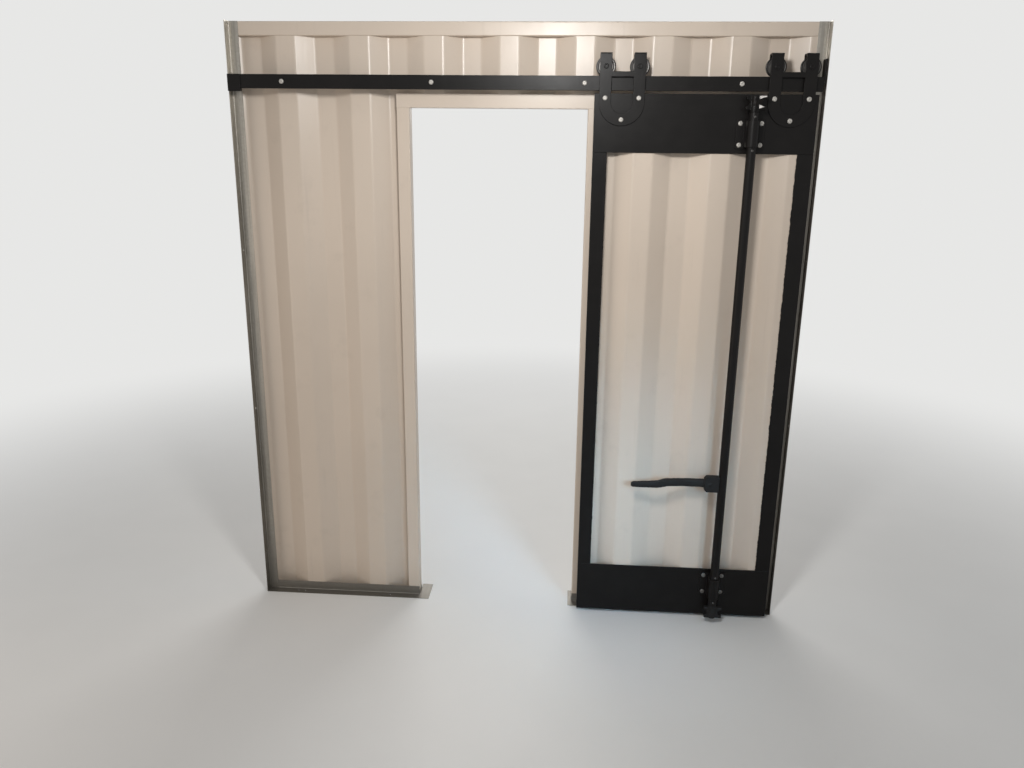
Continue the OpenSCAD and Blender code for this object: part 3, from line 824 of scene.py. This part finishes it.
class HANGER_OT_wheels(bpy.types.Operator):
    """Makes the four grooved wheels and their axles"""
    bl_idname = "hung_door.wheels"
    bl_label = "Wheels"

    def execute(self, context):
        for k in range(1, 5):
            node = f"wheel_{k}"
            low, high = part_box(node)
            middle = (low + high) / 2
            r, w = (high.z - low.z) / 2, (high.y - low.y) / 2
            bore, tread, groove = 0.0051, r - 0.004, 0.005
            half = [(-w + 0.0022, bore), (-w, bore + 0.0006), (-w, 0.0125), (-w + 0.0014, 0.0131),
                    (-w + 0.0014, 0.0165), (-w + 0.0002, 0.0171), (-w + 0.0002, 0.0195), (-w + 0.0030, 0.0215),
                    (-w + 0.0030, 0.0255), (-w + 0.0006, 0.0280), (-w, 0.0292), (-w, r - 0.0012),
                    (-w + 0.0004, r - 0.0003), (-w + 0.0012, r), (-groove - 0.0018, r),
                    (-groove - 0.0011, r - 0.0004), (-groove - 0.0001, tread + 0.0005), (-groove + 0.0006, tread)]
            profile = half + [(-a, b) for a, b in reversed(half)]
            bm = bmesh.new()
            lathe(bm, profile, middle, WHEEL_STEPS, bored=True)

            def turned_face(f, x, y, z, hub=(middle.x, 0.0, middle.z), rim=r - 0.0035):
                out = f.add("ShaderNodeVectorMath", {"operation": "DISTANCE"},
                            {0: f.place((1.0, 0.0, 1.0)), 1: hub}, out="Value")
                return f.fade(out, rim, rim - 0.0012) * (0.30 + 0.25 * f.cloud(90.0, 3.0))

            finish = black_enamel(node + "_enamel", settings().paint, "y", turned_face)
            new_piece(node + "_piece", bm, node, finish, (node,), 40.0)
        low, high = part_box("wheel_axles")
        bm = bmesh.new()
        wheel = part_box("wheel_1")
        r, tip = SHANK_RADIUS, high.y - low.y - 0.0040
        for x, z in solid_middles("wheel_axles"):
            # head with a ring in its face, and the shank
            lathe(bm, [(-0.0030, 0.0), (-0.0030, 0.0042), (-0.0036, 0.0047), (-0.0040, 0.0062), (-0.0038, 0.0078),
                       (-0.0030, 0.0088), (-0.0002, 0.0090), (0.0, r), (tip - 0.0005, r), (tip, 0.0044), (tip, 0.0)],
                  Vector((x, low.y + 0.004, z)))
            # a spacer on each side of the wheel
            for a, b in ((low.y + 0.010, wheel[0].y - 0.0003), (wheel[1].y + 0.0003, high.y - 0.012)):
                lathe(bm, [(0.0, r), (0.0, 0.0076), (0.0004, 0.0080), (b - a - 0.0004, 0.0080), (b - a, 0.0076),
                           (b - a, r)], Vector((x, a, z)), bored=True)
            hex_nut(bm, Vector((x, high.y - 0.006, z)), 0.0077, 0.0058, r)
        new_piece("wheel_axle_set", bm, "wheel_axles", black("y"), ("wheel_axles",))
        return {"FINISHED"}


# Lock rod

class ROD_OT_rod(bpy.types.Operator):
    """Makes the lock rod, its brackets and its forged cams"""
    bl_idname = "hung_door.lock_rod"
    bl_label = "Lock Rod"

    def execute(self, context):
        paint = settings().paint
        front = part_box("lock_rod")[0].y

        def pin_ends(f, x, y, z):
            return f.fade(y, front + 0.0008, front + 0.0002) * f.fade(f.cloud(300.0), 0.30, 0.50) * 0.5

        soft_copy("lock_rod", black_enamel("rod_enamel", paint, "z", pin_ends), ROD_EDGE)
        for node in ("upper_bracket", "lower_bracket"):
            soft_copy(node, black("z"), BRACKET_EDGE, 3)
        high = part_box("upper_cam")[1]

        def worn_horns_and_glints(f, x, y, z):
            # two bright wedges on the horns, the upper one under a slanting edge, that taper to points; they are
            # rubbed bare steel, painted pale enough to be a painted highlight as well
            ragged = (f.cloud(150.0, 3.0, 0.6) - 0.5) * 0.005
            along = high.x - x
            upper = (high.z - 0.002 - along * 0.33 - z).top(along - 0.028).top(0.002 - along)
            lower = (abs(z - (high.z - 0.0365)) - (along - 0.008) * 0.35).top(along - 0.028)
            return f.fade(upper.low(lower) + ragged, 0.0006, -0.0006)

        soft_copy("lower_cam", forged(), FORGED_EDGE, 4)
        rubbed = forged_black("rubbed_black", paint, 0.0011, worn_horns_and_glints)
        soft_copy("upper_cam", rubbed, FORGED_EDGE, 4)
        return {"FINISHED"}


class ROD_OT_bolts(bpy.types.Operator):
    """Makes the brackets' bolts"""
    bl_idname = "hung_door.bracket_bolts"
    bl_label = "Bracket Bolts"

    def execute(self, context):
        plate = 0.005
        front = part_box("upper_bracket")[1].y - plate
        bm = bmesh.new()
        bolt_row(bm, solid_middles("bracket_bolts"), front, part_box("bracket_bolts")[1].y)
        new_piece("bracket_bolt_set", bm, "bracket_bolts", plated(), ("bracket_bolts",))
        return {"FINISHED"}


class ROD_OT_handle(bpy.types.Operator):
    """Forges the handle as a hammered bar with a step, and its chamfered hub with a rivet"""
    bl_idname = "hung_door.handle"
    bl_label = "Handle"

    def execute(self, context):
        size = settings().handle
        low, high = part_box("handle")
        length = high.x - low.x
        middle_y = (low.y + high.y) / 2
        level = high.z - 0.020
        # share of the length from the hub, upper edge, lower edge, half thickness, in millimetres
        form = [(0.0, 20.0, -15.0, 11.0), (0.10, 20.0, -14.6, 11.0), (0.27, 19.6, -13.8, 10.8),
                (0.40, 18.4, -15.0, 10.6), (0.50, 16.8, -17.0, 10.4), (0.55, 14.6, -20.5, 10.0),
                (0.60, 9.8, -24.0, 9.4), (0.64, 6.0, -25.4, 9.0), (0.70, 4.4, -25.8, 8.6),
                (0.80, 2.6, -26.0, 8.3), (0.90, 0.6, -25.4, 8.2), (0.975, -1.4, -25.0, 7.6),
                (1.0, -5.5, -20.5, 5.0)]
        bm = bmesh.new()
        rings = []
        around = 28
        for k in range(size.stations):
            share = k / (size.stations - 1)
            top, bottom, half = smooth_row(form, share)
            ring = []
            for j in range(around):
                turn = 2 * math.pi * j / around
                c, s = math.cos(turn), math.sin(turn)
                reach = (abs(c) ** size.squareness + abs(s) ** size.squareness) ** (-1.0 / size.squareness)
                point = Vector((high.x - share * length, middle_y + half * c * reach / 1000,
                                level + ((top + bottom) / 2 + (top - bottom) / 2 * s * reach) / 1000))
                mark = noise.noise(point * 55.0) + 0.5 * noise.noise(point * 130.0)
                pull = size.hammer * (mark - 0.8) * min(1.0, share * 20.0)
                ring.append(bm.verts.new(point + Vector((0.0, c, s)) * pull))
            rings.append(ring)
        bridge_all(bm, rings)
        bm.faces.new(rings[0])
        bm.faces.new(list(reversed(rings[-1])))
        new_piece("handle_bar", bm, "handle", forged(), ("handle",), 60.0)
        soft_copy("handle_hub", forged(), HUB_EDGE, 4)
        low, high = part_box("handle_hub")
        bm = bmesh.new()
        place = Vector((low.x + 0.024, low.y, (low.z + high.z) / 2))
        lathe(bm, [(-0.0030, 0.0), (-0.0029, 0.0030), (-0.0024, 0.0058), (-0.0014, 0.0078), (0.0, 0.0088),
                   (0.0, 0.0)], place, HEAD_STEPS)
        new_piece("hub_rivet", bm, "handle_hub", forged(), angle=60.0)
        return {"FINISHED"}


def smooth_row(rows, at):
    """The values of a table at a place between its rows, eased a little from row to row."""
    for first, second in zip(rows, rows[1:]):
        if at <= second[0]:
            t = (at - first[0]) / (second[0] - first[0])
            t = 0.6 * t + 0.4 * t * t * (3 - 2 * t)
            return [a + (b - a) * t for a, b in zip(first[1:], second[1:])]
    return list(rows[-1][1:])


# Stage

# The photo's camera: its place in metres, and its yaw, pitch and roll in degrees
CAMERA_PLACE = (0.6410, -3.2293, 1.8773)
CAMERA_TURN = (3.916, 15.710, 0.656)

FLOOR_REACH = 30.0       # half the floor's width in metres
FLOOR_DROP = 0.0006      # how far the floor lies under the feet
FLOOR_CELLS = 40

# name of the power setting, place, aim, width and height, colour, spread in degrees
LAMPS = (("key", (0.55, -1.60, 2.43), (0.50, 0.0, 1.2), (0.27, 0.27), (1.0, 0.99, 0.97), 180.0),
         ("left", (-2.4, -1.9, 0.95), (-0.3, 0.0, 0.7), (1.8, 1.8), (1.0, 0.82, 0.65), 180.0),
         ("cool", (2.0, -2.8, 1.5), (0.72, 0.0, 0.42), (0.8, 0.8), (0.42, 0.72, 1.0), 24.0),
         ("back", (0.4, 3.4, 3.0), (0.44, 0.0, 1.0), (2.4, 1.6), (1.0, 0.99, 0.97), 180.0))


class STAGE_OT_build(bpy.types.Operator):
    """Makes the plain floor, the soft lamps and the camera"""
    bl_idname = "hung_door.stage"
    bl_label = "Stage"

    def execute(self, context):
        stage = settings().stage
        bm = bmesh.new()
        bmesh.ops.create_grid(bm, x_segments=FLOOR_CELLS, y_segments=FLOOR_CELLS, size=FLOOR_REACH)
        mesh = bpy.data.meshes.new("floor")
        bm.to_mesh(mesh)
        bm.free()
        mesh.materials.append(floor_finish(stage))
        floor = bpy.data.objects.new("floor", mesh)
        floor.location = (0.44, 0.0, -FLOOR_DROP)
        context.scene.collection.objects.link(floor)
        pale_world(stage)
        for name, place, aim, size, colour, spread in LAMPS:
            lamp(name + "_lamp", place, aim, size, getattr(stage, name), colour, spread)
        context.scene.camera = photo_camera(stage.lens)
        context.scene.view_settings.view_transform = "Standard"
        return {"FINISHED"}


def photo_camera(lens):
    """The camera that was fitted to the photo."""
    camera = bpy.data.objects.new("camera", bpy.data.cameras.new("camera"))
    camera.data.sensor_fit = "HORIZONTAL"
    camera.data.sensor_width = 36.0
    camera.data.lens = lens
    camera.data.clip_start, camera.data.clip_end = 0.05, 200.0
    yaw, pitch, roll = (math.radians(a) for a in CAMERA_TURN)
    ahead = Vector((-math.sin(yaw) * math.cos(pitch), math.cos(yaw) * math.cos(pitch), -math.sin(pitch)))
    right = Vector((math.cos(yaw), math.sin(yaw), 0.0))
    up = right.cross(ahead)
    across = right * math.cos(roll) + up * math.sin(roll)
    upward = up * math.cos(roll) - right * math.sin(roll)
    turn = Matrix((across, upward, -ahead)).transposed()
    camera.matrix_world = Matrix.Translation(CAMERA_PLACE) @ turn.to_4x4()
    bpy.context.scene.collection.objects.link(camera)
    return camera


def seen(f):
    """1 on rays from the camera, a mirror or glass."""
    path = f.add("ShaderNodeLightPath", out="Is Camera Ray").socket.node
    rays = [Sock(f, path.outputs[key]) for key in ("Is Camera Ray", "Is Glossy Ray", "Is Transmission Ray")]
    return rays[0].top(rays[1]).top(rays[2])


def floor_finish(stage):
    """Pale floor that keeps shadows near the object and melts into the background far away."""
    f = Finish("floor")
    far = f.add("ShaderNodeVectorMath", {"operation": "LENGTH"}, {0: f.place()}, out="Value")
    grain = f.cloud(3.0, 3.0)
    colour = f.blend(f.fade(grain, 0.3, 0.7), stage.floor, shade(stage.floor, 0.985))
    rough = 0.55 + grain * 0.1
    matt = f.add("ShaderNodeBsdfPrincipled", None,
                 {"Base Color": colour, "Roughness": rough, "Specular IOR Level": 0.25})
    glow = f.add("ShaderNodeEmission", None, {"Color": stage.floor, "Strength": 1.0})
    mixed = f.add("ShaderNodeMixShader", None, {0: f.fade(far, 1.6, 5.0) * seen(f), 1: matt, 2: glow})
    f.add("ShaderNodeOutputMaterial", None, {"Surface": mixed})
    return f.material


def pale_world(stage):
    """Even light from all round, and a plain pale background."""
    world = bpy.data.worlds.new("pale_world")
    world.use_nodes = True
    f = Finish("pale_world", world.node_tree)
    back = f.add("ShaderNodeBackground", None, {"Color": stage.floor, "Strength": 1.0})
    light = f.add("ShaderNodeBackground", None, {"Color": (1.0, 1.0, 1.0), "Strength": stage.ambient})
    mixed = f.add("ShaderNodeMixShader", None, {0: seen(f), 1: light, 2: back})
    f.add("ShaderNodeOutputWorld", None, {"Surface": mixed})
    bpy.context.scene.world = world


def lamp(name, place, aim, size, power, colour, spread):
    """A soft rectangular lamp that looks at aim."""
    light = bpy.data.lights.new(name, "AREA")
    light.shape = "RECTANGLE"
    light.size, light.size_y = size
    light.spread = math.radians(spread)
    light.energy = power
    light.color = colour
    thing = bpy.data.objects.new(name, light)
    thing.location = place
    thing.rotation_euler = (Vector(aim) - Vector(place)).to_track_quat("-Z", "Y").to_euler()
    bpy.context.scene.collection.objects.link(thing)


# Panel and registration

OPERATORS = (WALL_OT_sheets, WALL_OT_tubes, WALL_OT_angles, TRACK_OT_bar, TRACK_OT_bolts, LEAF_OT_frame,
             LEAF_OT_sheet, HANGER_OT_straps, HANGER_OT_bolts, HANGER_OT_wheels, ROD_OT_rod, ROD_OT_bolts,
             ROD_OT_handle, STAGE_OT_build)


class VIEW3D_PT_hung_door(bpy.types.Panel):
    """Sidebar panel that lists the pieces in the order they are made"""
    bl_idname = "VIEW3D_PT_hung_door"
    bl_label = "Sliding Door"
    bl_space_type = "VIEW_3D"
    bl_region_type = "UI"
    bl_category = "Sliding Door"

    def draw(self, context):
        column = self.layout.column()
        for operator in OPERATORS:
            column.operator(operator.bl_idname)
        for group in ("paint", "steel", "fastening", "handle", "stage"):
            box = self.layout.box()
            values = getattr(context.scene.hung_door, group)
            for key in values.bl_rna.properties.keys():
                if key not in ("rna_type", "name"):
                    box.prop(values, key)


CLASSES = (PaintSettings, SteelSettings, FasteningSettings, HandleSettings, StageSettings, DoorSettings,
           *OPERATORS, VIEW3D_PT_hung_door)


def register():
    for cls in CLASSES:
        bpy.utils.register_class(cls)
    bpy.types.Scene.hung_door = PointerProperty(type=DoorSettings)


def unregister():
    del bpy.types.Scene.hung_door
    for cls in reversed(CLASSES):
        bpy.utils.unregister_class(cls)


def main():
    register()
    for operator in OPERATORS:
        group, name = operator.bl_idname.split(".")
        getattr(getattr(bpy.ops, group), name)()


if __name__ == "__main__":
    main()
